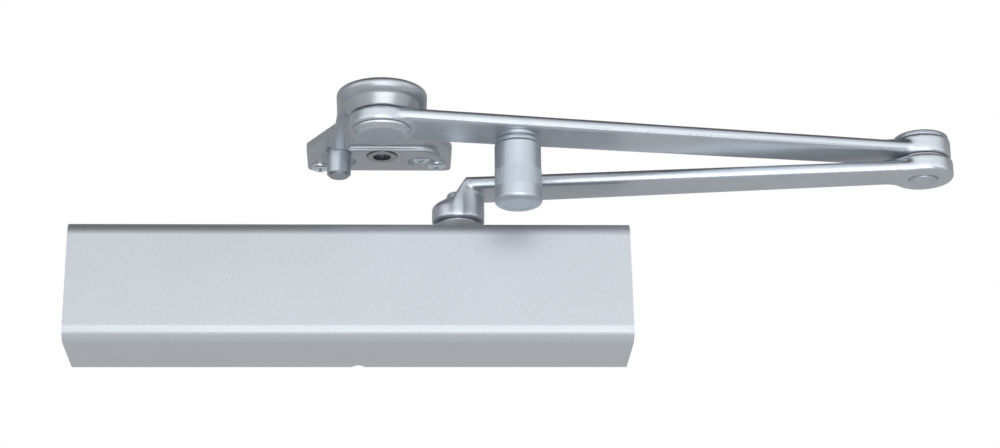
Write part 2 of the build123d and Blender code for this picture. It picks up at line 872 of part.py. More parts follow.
def pivot_bush():
    bush = upright_ring(
        0, 0, pivot_eye_bottom, pivot_eye_top,
        pivot_radius + running_gap + pivot_bush_wall - seat_gap, pivot_radius + running_gap,
    )
    return forearm_place() * bush


def knob_guide():
    """Tube under the forearm that carries the knob and the plunger."""
    flange = knob_seat - guide_flange_height
    low = knob_floor + free_gap
    profile = Polyline(
        (guide_bore_radius, low),
        (guide_tube_radius, low),
        (guide_tube_radius, knob_top + free_gap),
        (guide_collar_radius, knob_top + free_gap),
        (guide_collar_radius, flange),
        (guide_flange_radius, flange),
        (guide_flange_radius, knob_seat),
        (guide_bore_radius, knob_seat),
        close=True,
    )
    return knob_place() * revolve(make_face(Plane.XZ * profile), Axis.Z)


def hold_open_knob():
    profile = Polyline(
        (0, knob_bottom + knob_face_depth),
        (knob_face_radius, knob_bottom + knob_face_depth),
        (knob_face_radius, knob_bottom),
        (knob_band_radius - knob_round, knob_bottom),
        (knob_band_radius, knob_bottom + knob_round),
        (knob_band_radius, knob_band_top),
        (knob_radius, knob_band_top + free_gap),
        (knob_radius, knob_top - knob_round / 2),
        (knob_radius - knob_round / 2, knob_top),
        (guide_tube_radius + running_gap, knob_top),
        (guide_tube_radius + running_gap, knob_floor),
        (0, knob_floor),
        close=True,
    )
    return knob_place() * revolve(make_face(Plane.XZ * profile), Axis.Z)


def hold_open_plunger():
    tip = knob_bar_top - plunger_tip_drop
    plunger = upright(0, 0, knob_floor + free_gap, tip, plunger_radius)
    plunger = chamfer(plunger.faces().sort_by(Axis.Z)[-1].edges(), plunger_radius / 4)
    plunger += upright(
        0, 0, plunger_collar_bottom, plunger_collar_bottom + plunger_collar_height,
        plunger_collar_radius,
    )
    return knob_place() * plunger


def hold_open_spring():
    low = plunger_collar_bottom + plunger_collar_height + seat_gap
    radius = (plunger_radius + guide_bore_radius) / 2
    height = knob_seat - low - seat_gap
    return knob_place() * Pos(0, 0, low) * coil(
        radius, plunger_spring_wire, height, plunger_spring_turns
    )


def screw_spots():
    """Centres of the four bracket screws, the inner pair last."""
    return [
        (bracket_x - outer_screw_left, outer_screw_left_y),
        (bracket_x + outer_screw_right, outer_screw_right_y),
        (bracket_x - inner_screw_half_spacing, inner_screw_y),
        (bracket_x + inner_screw_half_spacing, inner_screw_y),
    ]


def peg_centre():
    taper = (forearm_half_near - forearm_half_far) / forearm_length
    half_forearm = forearm_half_near - taper * peg_from_pivot
    x = bracket_x - half_forearm - peg_gap - peg_radius
    return x, pivot_y + peg_from_pivot


def catch_y():
    return pivot_y + hold_open_radius


def soffit_bracket():
    rim_low = bracket_top - disc_rim
    disc = upright(0, 0, rim_low, bracket_top, disc_radius)
    disc = fillet(disc.faces().sort_by(Axis.Z)[-1].edges(), disc_top_round)
    disc = fillet(disc.faces().sort_by(Axis.Z)[0].edges(), disc_low_round)
    disc = pivot_place() * (disc + boss_cone(0))
    neck_left = bracket_x - disc_radius
    neck_right = bracket_x + disc_radius
    neck = block(neck_left, neck_right, pivot_y, plate_neck_y, rim_low, bracket_top)
    neck = fillet(neck.edges().filter_by(Axis.Y).group_by(Axis.Z)[0], disc_low_round)
    plate_left_x = bracket_x - plate_left
    plate_right_x = bracket_x + plate_right
    plan = [(plate_left_x, plate_back_y), (plate_left_x, plate_front_y)]
    plan += [(neck_left, plate_neck_y), (neck_right, plate_neck_y)]
    plan += [(plate_right_x, plate_front_y), (plate_right_x, plate_back_y)]
    plate = slab(plan, plate_bottom, bracket_top)
    corners = plate.edges().filter_by(Axis.Z)
    corners = [e for e in corners if not neck_left - 1 < e.center().X < neck_right + 1]
    plate = fillet(corners, plate_corner_radius)
    pad_width = pad_back_y - pad_front_y
    pad = SlotOverall(2 * pad_half_length, pad_width)
    pad_solid = Pos(bracket_x, (pad_front_y + pad_back_y) / 2, pad_bottom) * extrude(pad, pad_drop)
    for x, y in screw_spots():
        pad_solid -= upright(x, y, pad_bottom, plate_bottom, spot_face_radius)
    peg_x, peg_y = peg_centre()
    rail_outline = make_hull(
        (Pos(neck_left + rail_near_radius, pivot_y + rail_start) * Circle(rail_near_radius)).edges()
        + (Pos(peg_x, peg_y) * Circle(rail_far_radius)).edges()
    )
    rail = Pos(0, 0, plate_bottom - rail_drop) * extrude(rail_outline, rail_drop)
    rail = fillet(rail.faces().sort_by(Axis.Z)[0].edges(), rail_drop / 2)
    bracket = disc + neck + plate + pad_solid + rail
    bracket -= upright(bracket_x, pivot_y, boss_low, bracket_top - bracket_thickness / 2,
                       pivot_radius)
    bracket -= upright(peg_x, peg_y, pad_bottom, plate_bottom, peg_radius)
    bracket -= upright(bracket_x, catch_y(), pad_bottom, pad_bottom + catch_height, catch_radius)
    for x, y in screw_spots():
        bracket -= upright(x, y, plate_bottom, bracket_top, bracket_screw_radius + screw_gap)
    return bracket


def stop_peg():
    x, y = peg_centre()
    peg = upright(x, y, peg_bottom, plate_bottom, peg_radius - seat_gap)
    return chamfer(peg.faces().sort_by(Axis.Z)[0].edges(), peg_chamfer)


def hold_open_catch():
    """Hardened ring that the plunger enters when the door is held open."""
    return upright_ring(
        bracket_x, catch_y(), pad_bottom - catch_proud, pad_bottom + catch_height,
        catch_radius - seat_gap, catch_hole_radius,
    )


def pivot_screw():
    top = pivot_eye_bottom - free_gap
    rim = top - pivot_head_rim
    face = rim - pivot_head_cone
    reach = bracket_top - bracket_thickness / 2 - seat_gap
    profile = Polyline(
        (0, face),
        (pivot_head_face_radius, face),
        (pivot_head_radius, rim),
        (pivot_head_radius, top),
        (pivot_radius, top),
        (pivot_radius, reach),
        (0, reach),
        close=True,
    )
    screw = revolve(make_face(Plane.XZ * profile), Axis.Z)
    return pivot_place() * screw


def bracket_screw(x, y):
    low = plate_bottom - bracket_screw_head_height
    head = upright(x, y, low, plate_bottom, bracket_screw_head_radius)
    head = fillet(head.faces().sort_by(Axis.Z)[0].edges(), bracket_screw_head_height / 2)
    half_long = bracket_screw_recess_length / 2
    half_wide = bracket_screw_recess_width / 2
    depth = low + bracket_screw_recess_depth
    cross = block(x - half_long, x + half_long, y - half_wide, y + half_wide, low, depth)
    cross += block(x - half_wide, x + half_wide, y - half_long, y + half_long, low, depth)
    head -= cross
    return head + upright(x, y, plate_bottom, plate_bottom + bracket_screw_length, bracket_screw_radius)


def bracket_screws():
    return Compound([bracket_screw(x, y) for x, y in screw_spots()])


nodes = {
    "housing": housing,
    "cover": cover,
    "cover_screws": cover_screws,
    "pinion_collar": pinion_collar,
    "pinion_seal": pinion_seal,
    "upper_pinion_bearing": upper_pinion_bearing,
    "lower_pinion_bearing": lower_pinion_bearing,
    "lower_bearing_cap": lower_bearing_cap,
    "spring_end_plug": spring_end_plug,
    "head_end_plug": head_end_plug,
    "end_plug_seals": end_plug_seals,
    "power_adjusting_screw": power_adjusting_screw,
    "spring_seat": spring_seat,
    "closing_spring": closing_spring,
    "rack_piston": rack_piston,
    "piston_seal": piston_seal,
    "check_ball": check_ball,
    "ball_retainer": ball_retainer,
    "pinion": pinion,
    "main_arm": main_arm,
    "arm_washer": arm_washer,
    "arm_screw": arm_screw,
    "elbow_bush": elbow_bush,
    "elbow_washer": elbow_washer,
    "forearm": forearm,
    "elbow_stud": elbow_stud,
    "elbow_cap": elbow_cap,
    "pivot_bush": pivot_bush,
    "knob_guide": knob_guide,
    "hold_open_knob": hold_open_knob,
    "hold_open_plunger": hold_open_plunger,
    "hold_open_spring": hold_open_spring,
    "soffit_bracket": soffit_bracket,
    "stop_peg": stop_peg,
    "hold_open_catch": hold_open_catch,
    "pivot_screw": pivot_screw,
    "bracket_screws": bracket_screws,
}

os.makedirs("parts", exist_ok=True)
for name, make in nodes.items():
    export_step(make(), f"parts/{name}.step")
for name, x in valve_places:
    export_step(valve(x), f"parts/{name}.step")

print("piston travel", round(piston_travel, 3), "arm length", round(arm_length, 3))
print("knob from", round(knob_bottom, 2), "to", round(knob_top, 2), "under bar at", round(knob_seat, 3))
print("bracket top", round(bracket_top, 3), "forearm length", round(forearm_length, 3))
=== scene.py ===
import math
import bmesh
import bpy
from mathutils import Matrix, Vector


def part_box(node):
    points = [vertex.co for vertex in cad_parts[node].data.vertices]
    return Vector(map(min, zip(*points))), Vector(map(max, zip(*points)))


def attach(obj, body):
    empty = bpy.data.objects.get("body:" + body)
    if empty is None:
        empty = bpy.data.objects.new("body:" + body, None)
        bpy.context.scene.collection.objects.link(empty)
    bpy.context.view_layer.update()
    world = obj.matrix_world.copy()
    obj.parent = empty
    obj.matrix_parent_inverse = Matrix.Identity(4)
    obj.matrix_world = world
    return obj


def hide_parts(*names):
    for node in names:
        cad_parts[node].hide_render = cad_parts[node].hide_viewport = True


# Parallel arm door closer, dressed for its picture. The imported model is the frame, in metres.
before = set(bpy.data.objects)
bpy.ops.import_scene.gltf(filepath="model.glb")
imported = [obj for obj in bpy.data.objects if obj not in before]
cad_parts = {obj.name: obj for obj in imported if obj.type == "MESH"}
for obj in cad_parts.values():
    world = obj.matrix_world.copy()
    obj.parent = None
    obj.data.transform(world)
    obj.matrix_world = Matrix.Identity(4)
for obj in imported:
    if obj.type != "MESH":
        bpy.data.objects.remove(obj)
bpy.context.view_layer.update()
print("frame loaded:", len(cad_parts), "nodes")


def linearColour(hexText):  # a written sRGB colour, as the shader needs it
    parts = [int(hexText[i:i + 2], 16) / 255 for i in (0, 2, 4)]
    return tuple(part / 12.92 if part <= 0.04045 else ((part + 0.055) / 1.055) ** 2.4
                 for part in parts) + (1.0,)


def addNode(tree, kind, settings=None, links=None):  # one node, with its values and what feeds it
    node = tree.nodes.new(kind)
    for name, value in (settings or {}).items():
        if isinstance(name, int) or name in node.inputs:
            node.inputs[name].default_value = value
        else:
            setattr(node, name, value)
    for name, source in (links or {}).items():
        tree.links.new(source, node.inputs[name])
    return node


# Finishes
# In millimetres: grain is the size of the fine bump and relief its height, cloud the size of the slow
# change of colour. spread is how far the roughness wanders, flake how strongly single flakes are
# painted brighter or darker, as a painted sparkle of their glints, and coat the weight of a clear layer
# on top. Grains under about 1 mm are finer than the picture shows from afar; those of the forgings,
# the casting and the brushing are drawn coarser than life, to show.
finishes = {
    # flat silver paint with fine metal flakes: a soft sheen, with a sparkle in points painted into its colour
    "silverFlakePaint": dict(light="C9CFD6", dark="C2C8CF", metallic=0.35, roughness=0.40, spread=0.06,
                             grain=0.35, relief=0.010, cloud=60, flake=0.45, coat=0.35),
    # drop forging, shot blasted and painted silver: slightly uneven, satin
    "silverForging": dict(light="C9D0D8", dark="B8BFC7", metallic=0.75, roughness=0.33, spread=0.05,
                          grain=1.6, relief=0.007, cloud=16, flake=0.15, coat=0.10),
    # zinc-plated steel: bright, a little blue, with a faint cloudy bloom
    "brightZinc": dict(light="E2E9F0", dark="C8D2DC", metallic=0.75, roughness=0.20, spread=0.12,
                       grain=0.3, relief=0.004, cloud=5, flake=0.0),
    # zinc-plated and brushed round: a broad satin sheen that darkens towards the sides
    "satinZinc": dict(light="BCC4CD", dark="AFB7C0", metallic=0.92, roughness=0.42, spread=0.04,
                      grain=0.9, relief=0.003, cloud=9, flake=0.2),
    # sand-cast aluminium: pale grey with the print of the sand
    "sandCastAluminium": dict(light="B4B6B9", dark="9A9C9F", metallic=0.75, roughness=0.52, spread=0.12,
                              grain=0.8, relief=0.080, cloud=22, flake=0.0),
    # ground and hardened steel: darker and smooth
    "groundSteel": dict(light="A6A8AC", dark="8E9094", metallic=1.0, roughness=0.28, spread=0.12,
                        grain=0.4, relief=0.006, cloud=9, flake=0.0),
    # oiled spring wire: nearly black blue-grey with soft gloss
    "oiledSpringSteel": dict(light="5B5F66", dark="3F4248", metallic=0.9, roughness=0.32, spread=0.12,
                             grain=0.5, relief=0.008, cloud=6, flake=0.0),
    # sintered bronze: brown-gold, matt from its open pores
    "sinteredBronze": dict(light="B08A55", dark="8E6C40", metallic=0.9, roughness=0.48, spread=0.10,
                           grain=0.35, relief=0.020, cloud=4, flake=0.0),
    # nitrile rubber: matt black
    "nitrileRubber": dict(light="26272A", dark="1B1C1E", metallic=0.0, roughness=0.62, spread=0.10,
                          grain=0.5, relief=0.010, cloud=5, flake=0.0),
    # moulded nylon, filled with metal powder: pale grey and even, with a slight metal sheen
    "greyNylon": dict(light="E6E9ED", dark="DADDE2", metallic=0.4, roughness=0.30, spread=0.08,
                      grain=0.6, relief=0.010, cloud=7, flake=0.0),
    # casting under a satin silver-grey coat: bluish, a little darker and softer than the forgings
    "satinGreyCoat": dict(light="BEC4CB", dark="ADB3BA", metallic=0.66, roughness=0.36, spread=0.05,
                          grain=1.2, relief=0.008, cloud=16, flake=0.25, coat=0.10),
}
flakes = dict(size=0.45, sparkleSwing=0.16)  # real flakes are near 0.03 mm, and are drawn coarser to show
coatRoughness = 0.14
bumpStrength = 0.6


def makeFinish(name, look):
    material = bpy.data.materials.new(name)
    material.use_nodes = True
    tree = material.node_tree
    tree.nodes.clear()
    where = addNode(tree, "ShaderNodeTexCoord").outputs["Object"]
    cloud = addNode(tree, "ShaderNodeTexNoise", {"Scale": 1000 / look["cloud"], "Detail": 3.0},
                    {"Vector": where})
    grain = addNode(tree, "ShaderNodeTexNoise", {"Scale": 1000 / look["grain"], "Detail": 2.0},
                    {"Vector": where})
    tone = addNode(tree, "ShaderNodeMix",
                   {"data_type": "RGBA", 6: linearColour(look["dark"]), 7: linearColour(look["light"])},
                   {0: cloud.outputs["Fac"]})
    colour = tone.outputs[2]
    rough = addNode(tree, "ShaderNodeMapRange",
                    {"To Min": look["roughness"] - look["spread"],
                     "To Max": look["roughness"] + look["spread"]},
                    {"Value": grain.outputs["Fac"]})
    if look["flake"] > 0:  # painted sparkle: flakes lie at all tilts, so their glints are painted as single points brighter or darker
        sparkleSwing = flakes["sparkleSwing"] * look["flake"]
        flake = addNode(tree, "ShaderNodeTexVoronoi", {"Scale": 1000 / flakes["size"]}, {"Vector": where})
        lift = addNode(tree, "ShaderNodeMapRange", {"To Min": 1 - sparkleSwing, "To Max": 1 + sparkleSwing},
                       {"Value": flake.outputs["Color"]})
        paintedSparkle = addNode(tree, "ShaderNodeVectorMath", {"operation": "SCALE"},
                        {0: colour, "Scale": lift.outputs["Result"]})
        colour = paintedSparkle.outputs[0]
    bump = addNode(tree, "ShaderNodeBump", {"Strength": bumpStrength, "Distance": look["relief"] / 1000},
                   {"Height": grain.outputs["Fac"]})
    skin = addNode(tree, "ShaderNodeBsdfPrincipled",
                   {"Metallic": look["metallic"], "Coat Weight": look.get("coat", 0.0),
                    "Coat Roughness": coatRoughness},
                   {"Base Color": colour, "Roughness": rough.outputs["Result"],
                    "Normal": bump.outputs["Normal"]})
    addNode(tree, "ShaderNodeOutputMaterial", {}, {"Surface": skin.outputs["BSDF"]})
    return material


made = {name: makeFinish(name, look) for name, look in finishes.items()}

wears = {  # which node has which finish
    "silverFlakePaint": ["cover"],
    "silverForging": ["main_arm", "forearm", "elbow_cap", "arm_screw", "arm_washer"],
    "satinZinc": ["hold_open_knob", "knob_guide", "stop_peg"],
    "brightZinc": ["cover_screws", "bracket_screws", "pivot_screw", "power_adjusting_screw",
                   "backcheck_valve", "sweep_valve", "latch_valve"],
    "sandCastAluminium": ["housing", "spring_end_plug", "head_end_plug", "lower_bearing_cap", "spring_seat"],
    "groundSteel": ["hold_open_catch", "pinion", "rack_piston", "upper_pinion_bearing",
                    "lower_pinion_bearing", "check_ball", "hold_open_plunger", "elbow_stud", "elbow_washer"],
    "oiledSpringSteel": ["closing_spring", "hold_open_spring", "ball_retainer"],
    "sinteredBronze": ["elbow_bush", "pivot_bush"],
    "nitrileRubber": ["pinion_seal", "end_plug_seals", "piston_seal"],
    "greyNylon": ["pinion_collar"],
    "satinGreyCoat": ["soffit_bracket"],
}
for finish, nodes in wears.items():
    for node in nodes:
        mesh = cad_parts[node].data
        mesh.materials.clear()
        mesh.materials.append(made[finish])
print("finishes made:", len(made))


# Shared ways of making a piece
def place(name, data):
    thing = bpy.data.objects.new(name, data)
    bpy.context.scene.collection.objects.link(thing)
    return thing


def settle(piece):  # what the modifiers make of it, as a plain mesh
    graph = bpy.context.evaluated_depsgraph_get()
    mesh = bpy.data.meshes.new_from_object(piece.evaluated_get(graph), depsgraph=graph)
    piece.modifiers.clear()
    piece.data = mesh


def dress(piece, body, finish, stands=(), sharp=35):  # sharp: edges over that many degrees stay crisp
    piece.data.materials.clear()
    piece.data.materials.append(made[finish])
    piece.data.polygons.foreach_set("use_smooth", [True] * len(piece.data.polygons))
    if sharp:
        piece.data.set_sharp_from_angle(angle=math.radians(sharp))
    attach(piece, body)
    if stands:
        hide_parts(*stands)
    return piece


def middle(node):  # a round node's axis in plan
    low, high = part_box(node)
    return ((low.x + high.x) / 2, (low.y + high.y) / 2)


def levels(node):  # its lowest and highest level, in millimetres
    low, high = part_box(node)
    return low.z * 1000, high.z * 1000


def lifted(points, level):  # part of an outline, moved up to a level
    return [(radius, level + height) for radius, height in points]


def turned(name, profile, axis, steps=96):  # a lathe shape from radii and heights, in millimetres
    draft = bmesh.new()
    rings = []
    turns = [2 * math.pi * i / steps for i in range(steps)]
    for radius, height in profile:
        if radius == 0:
            rings.append([draft.verts.new((axis[0], axis[1], height / 1000))])
            continue
        rings.append([draft.verts.new((axis[0] + math.cos(turn) * radius / 1000,
                                       axis[1] + math.sin(turn) * radius / 1000, height / 1000))
                      for turn in turns])
    for low, high in zip(rings, rings[1:]):
        for i in range(steps):
            j = (i + 1) % steps
            if len(low) == 1:
                draft.faces.new((low[0], high[j], high[i]))
            elif len(high) == 1:
                draft.faces.new((low[i], low[j], high[0]))
            else:
                draft.faces.new((low[i], low[j], high[j], high[i]))
    bmesh.ops.remove_doubles(draft, verts=draft.verts, dist=1e-7)  # a hollow outline ends where it starts
    bmesh.ops.recalc_face_normals(draft, faces=draft.faces)
    mesh = bpy.data.meshes.new(name)
    draft.to_mesh(mesh)
    draft.free()
    return mesh


def lathe(name, node, profile, body, finish, steps=96, sharp=35):  # a turned piece for its node
    piece = place(name, turned(name, profile, middle(node), steps))
    return dress(piece, body, finish, [node], sharp)


def startTree(name, inputs):  # a Geometry Nodes tree with its named inputs
    tree = bpy.data.node_groups.new(name, "GeometryNodeTree")
    sockets = {label: tree.interface.new_socket(name=label, in_out="INPUT", socket_type="NodeSocket" + kind)
               for label, kind in inputs.items()}
    tree.interface.new_socket(name="Geometry", in_out="OUTPUT", socket_type="NodeSocketGeometry")
    return tree, sockets, addNode(tree, "NodeGroupInput").outputs


def endTree(tree, copies, given):  # copies become real geometry in their material
    real = addNode(tree, "GeometryNodeRealizeInstances", {}, {0: copies.outputs[0]})
    coated = addNode(tree, "GeometryNodeSetMaterial", {},
                     {"Geometry": real.outputs[0], "Material": given["Material"]})
    addNode(tree, "NodeGroupOutput", {}, {0: coated.outputs[0]})


def growTree(piece, tree, sockets, values):  # what the tree makes of a piece, kept as a plain mesh
    grow = piece.modifiers.new(tree.name, "NODES")
    grow.node_group = tree
    for label, value in values.items():
        grow[sockets[label].identifier] = value
    settle(piece)


# Forged arms and cast bracket: the frame's shapes, with the soft corners that a die and a mould leave
softened = {  # voxel in millimetres; rounds of smoothing, more for a softer corner
    "mainArmForging": dict(node="main_arm", body="main_arm_body", finish="silverForging",
                           slot="forged_silver", voxel=0.75, rounds=14),
    "forearmForging": dict(node="forearm", body="forearm_body", finish="silverForging",
                           slot="forged_silver", voxel=0.75, rounds=8),
    "bracketCasting": dict(node="soffit_bracket", body="bracket_body", finish="satinGreyCoat",
                           slot="plated_bracket", voxel=0.60, rounds=8),
}
for name, form in softened.items():
    draft = bmesh.new()
    draft.from_mesh(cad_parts[form["node"]].data)
    bmesh.ops.remove_doubles(draft, verts=draft.verts, dist=1e-6)
    mesh = bpy.data.meshes.new(name)
    draft.to_mesh(mesh)
    draft.free()
    piece = place(name, mesh)
    skin = piece.modifiers.new("skin", "REMESH")
    skin.mode = "VOXEL"
    skin.voxel_size = form["voxel"] / 1000
    soften = piece.modifiers.new("soften", "SMOOTH")
    soften.factor = 0.5
    soften.iterations = form["rounds"]
    settle(piece)
    dress(piece, form["body"], form["finish"], [form["node"]], sharp=0)
    print(name, "faces", len(piece.data.polygons))

# Hold-open knob: turned body, a band at the foot and a fine straight knurl above it
knob = dict(radius=12.6, bandRadius=12.85, bandHeight=9.1, topRound=0.5, bore=8.1, floor=5.4, steps=128,
            ridges=72, ridgeRadius=0.40, ridgeSides=8, ridgeProud=0.13, ridgeLow=9.5, ridgeHigh=19.0)
knobAxis = middle("hold_open_knob")
knobLow, knobHigh = levels("hold_open_knob")
side, band, top = knob["radius"], knob["bandRadius"], knob["topRound"]
foot = [(0, 0.3), (7.4, 0.3), (7.6, 0.05), (8.1, 0), (9.6, 0.12), (11.0, 0.50), (11.9, 1.02),
        (band - 0.43, 1.52), (band - 0.21, 1.92), (band - 0.05, 2.40), (band, 2.90),
        (band, 3.1)]  # a shallow dish, a crown and a rounded edge
profile = lifted(foot, knobLow)
profile += lifted([(band, -0.3), (band, -0.05), (band - 0.05, 0), (side, 0.02), (side, 0.3)],
                  knobLow + knob["bandHeight"])
profile += lifted([(side, -top - 0.3), (side, -top), (side - 0.3 * top, -0.3 * top), (side - top, 0),
                   (knob["bore"], 0)], knobHigh)
profile += lifted([(knob["bore"], knob["floor"]), (0, knob["floor"])], knobLow)
lathe("holdOpenKnobBody", "hold_open_knob", profile, "knob_body", "satinZinc", knob["steps"], 40)

knurlTree, sockets, given = startTree("knurlRidges", {
    "Count": "Int", "Circle Radius": "Float", "Ridge Radius": "Float", "Low": "Vector", "High": "Vector",
    "Axis": "Vector", "Material": "Material"})
line = addNode(knurlTree, "GeometryNodeCurvePrimitiveLine", {}, {"Start": given["Low"], "End": given["High"]})
wire = addNode(knurlTree, "GeometryNodeCurvePrimitiveCircle", {"Resolution": knob["ridgeSides"]},
               {"Radius": given["Ridge Radius"]})
ridge = addNode(knurlTree, "GeometryNodeCurveToMesh", {"Fill Caps": True},
                {"Curve": line.outputs[0], "Profile Curve": wire.outputs[0]})
ring = addNode(knurlTree, "GeometryNodeMeshCircle", {},
               {"Vertices": given["Count"], "Radius": given["Circle Radius"]})
copies = addNode(knurlTree, "GeometryNodeInstanceOnPoints", {},
                 {"Points": ring.outputs[0], "Instance": ridge.outputs[0]})
moved = addNode(knurlTree, "GeometryNodeTransform", {},
                {"Geometry": copies.outputs[0], "Translation": given["Axis"]})
endTree(knurlTree, moved, given)
knurl = place("holdOpenKnobKnurl", bpy.data.meshes.new("holdOpenKnobKnurl"))
growTree(knurl, knurlTree, sockets, {
    "Count": knob["ridges"], "Circle Radius": (side + knob["ridgeProud"] - knob["ridgeRadius"]) / 1000,
    "Ridge Radius": knob["ridgeRadius"] / 1000, "Low": (0, 0, (knobLow + knob["ridgeLow"]) / 1000),
    "High": (0, 0, (knobLow + knob["ridgeHigh"]) / 1000), "Axis": (*knobAxis, 0),
    "Material": made["satinZinc"]})
dress(knurl, "knob_body", "satinZinc", sharp=50)
print("knob made, knurl faces", len(knurl.data.polygons))

# Knob guide: tube, collar with a rounded shoulder, and a neck turned in between it and the flange
guide = dict(bore=5.2, tube=8.0, collar=12.3, neck=10.6, flange=11.6, flangeHeight=2.6, gap=0.35)
guideLow, guideHigh = levels("knob_guide")
bore, tube, collar, flange = guide["bore"], guide["tube"], guide["collar"], guide["flange"]
under, neck = knobHigh + guide["gap"], guideHigh - guide["flangeHeight"]
profile = [(bore, guideLow), (tube, guideLow)]
profile += lifted([(tube, 0), (collar - 0.3, 0), (collar, 0.3)], under)
profile += lifted([(collar, -1.1), (collar - 0.12, -0.6), (collar - 0.45, -0.2), (collar - 0.9, 0)], neck)
profile += lifted([(guide["neck"], 0), (guide["neck"], 0.5), (flange - 0.3, 0.5), (flange, 0.8)], neck)
profile += [(flange, guideHigh), (bore, guideHigh), (bore, guideLow)]
lathe("knobGuideTurned", "knob_guide", profile, "forearm_body", "satinZinc")

# Dust boot round the pinion: a bell with a rounded shoulder and a groove under the hub
boot = dict(bore=9.35, recess=12.0, recessHeight=4.0, inside=11.6, groove=0.9, top=13.4, middle=14.0,
            middleHeight=3.6, foot=15.6)
bootLow, bootHigh = levels("pinion_collar")
shoulder = bootHigh - boot["groove"]
profile = [(boot["bore"], bootLow + boot["recessHeight"]), (boot["bore"], bootHigh),
           (boot["inside"], bootHigh)]
profile += lifted([(boot["inside"], 0), (boot["top"] - 0.6, 0), (boot["top"] - 0.15, -0.2),
                   (boot["top"], -0.6)], shoulder)
profile += lifted([(boot["middle"], boot["middleHeight"]), (boot["foot"] - 1.25, 2.6),
                   (boot["foot"] - 0.75, 1.5), (boot["foot"] - 0.3, 0.6), (boot["foot"], 0),
                   (boot["recess"], 0), (boot["recess"], boot["recessHeight"]),
                   (boot["bore"], boot["recessHeight"])], bootLow)
lathe("pinionBootMoulded", "pinion_collar", profile, "closer_body", "greyNylon")

# Elbow cap: a flat disc with a groove round its side
elbowCap = dict(radius=15.3, groove=14.8)
capLow, capHigh = levels("elbow_cap")
rim, groove = elbowCap["radius"], elbowCap["groove"]
profile = lifted([(0, 0), (rim - 0.1, 0), (rim, 0.1), (rim, 0.5), (groove, 0.7), (groove, 0.95),
                  (rim, 1.15)], capLow)
profile += lifted([(rim, -1.0), (rim - 0.2, -0.5), (rim - 0.7, -0.15), (rim - 1.4, 0), (0, 0)], capHigh)
lathe("elbowCapTurned", "elbow_cap", profile, "forearm_body", "silverForging")

# Elbow stud: its peened end stands proud in a sunk ring
elbowStud = dict(proud=0.40, boss=6.1, sunk=0.80, ring=7.7, neck=6.3, shank=5.48)
studLow, studHigh = levels("elbow_stud")
proud, boss, ring = elbowStud["proud"], elbowStud["boss"], elbowStud["ring"]
profile = lifted([(0, -proud), (boss - 1.7, 0.05 - proud), (boss - 0.9, 0.25 - proud), (boss - 0.3, 0.25),
                  (boss, elbowStud["sunk"]), (boss + 0.8, elbowStud["sunk"]), (ring - 0.3, 0.38),
                  (ring, 0.39), (ring, 0.9), (elbowStud["neck"], 0.9), (elbowStud["neck"], 2.2),
                  (elbowStud["shank"], 2.2)], studLow)
profile += [(elbowStud["shank"], studHigh), (0, studHigh)]
lathe("elbowStudPeened", "elbow_stud", profile, "forearm_body", "silverForging")

# Pivot cap: a wide bevelled head on the bracket's pivot
pivotCap = dict(radius=16.1, face=12.9, thick=3.2, shank=8.0)
pinLow, pinHigh = levels("pivot_screw")
rim, face = pivotCap["radius"], pivotCap["face"]
profile = lifted([(0, 0.12), (face - 0.7, 0.05), (face, 0), (face + 0.5, 0.15), (face + 0.9, 0.5),
                  (rim - 0.5, 1.75), (rim - 0.1, 2.1), (rim, 2.4), (rim, pivotCap["thick"]),
                  (pivotCap["shank"], pivotCap["thick"])], pinLow)
profile += [(pivotCap["shank"], pinHigh), (0, pinHigh)]
lathe("pivotCapTurned", "pivot_screw", profile, "bracket_body", "silverForging")
print("guide, boot and caps made")

# Bracket screws: pan heads with a cross recess, and a rolled thread on the shank
screw = dict(headRadius=5.3, headHeight=2.1, shank=3.1, core=2.45, pitch=1.8, length=16.0, toothSteep=3.0,
             tip=0.8, sides=24, rows=96, recessLong=3.0, recessWide=0.75, recessDeep=1.5,
             floorLong=1.4, floorWide=0.4125, recessAbove=0.3, turn=0.7,
             places=[(-17.8, -9.2), (48.6, -13.0), (-4.8, -23.0), (39.6, -23.0)])
screwBottom = levels("bracket_screws")[0]
edge, high = screw["headRadius"], screw["headHeight"]
headProfile = [(0, 0), (edge - 2.7, 0.03), (edge - 1.4, 0.25), (edge - 0.6, 0.65), (edge - 0.15, 1.15),
               (edge, 1.6), (edge, high), (0, high)]
head = place("screwHead", turned("screwHead", headProfile, (0, 0), 64))
draft = bmesh.new()
outlines = []  # a cross, wide at the face and narrower at the floor of the recess
for long, wide, height in ((screw["recessLong"] + 0.3, screw["recessWide"] + 0.05, -screw["recessAbove"]),
                           (screw["floorLong"], screw["floorWide"], screw["recessDeep"])):
    arm = [(long, wide), (wide, wide), (wide, long)]
    points = []
    for quarter in range(4):
        cosine, sine = round(math.cos(quarter * math.pi / 2)), round(math.sin(quarter * math.pi / 2))
        points += [(x * cosine - y * sine, x * sine + y * cosine) for x, y in arm]
    outlines.append([draft.verts.new((x / 1000, y / 1000, height / 1000)) for x, y in points])
corners = len(outlines[0])
for i in range(corners):
    j = (i + 1) % corners
    draft.faces.new((outlines[0][i], outlines[0][j], outlines[1][j], outlines[1][i]))
draft.faces.new(outlines[0][::-1])
draft.faces.new(outlines[1])
bmesh.ops.recalc_face_normals(draft, faces=draft.faces)
cutter = place("recess", bpy.data.meshes.new("recess"))
draft.to_mesh(cutter.data)
draft.free()
cut = head.modifiers.new("recess", "BOOLEAN")
cut.operation = "DIFFERENCE"
cut.solver = "EXACT"
cut.object = cutter
settle(head)
bpy.data.objects.remove(cutter)

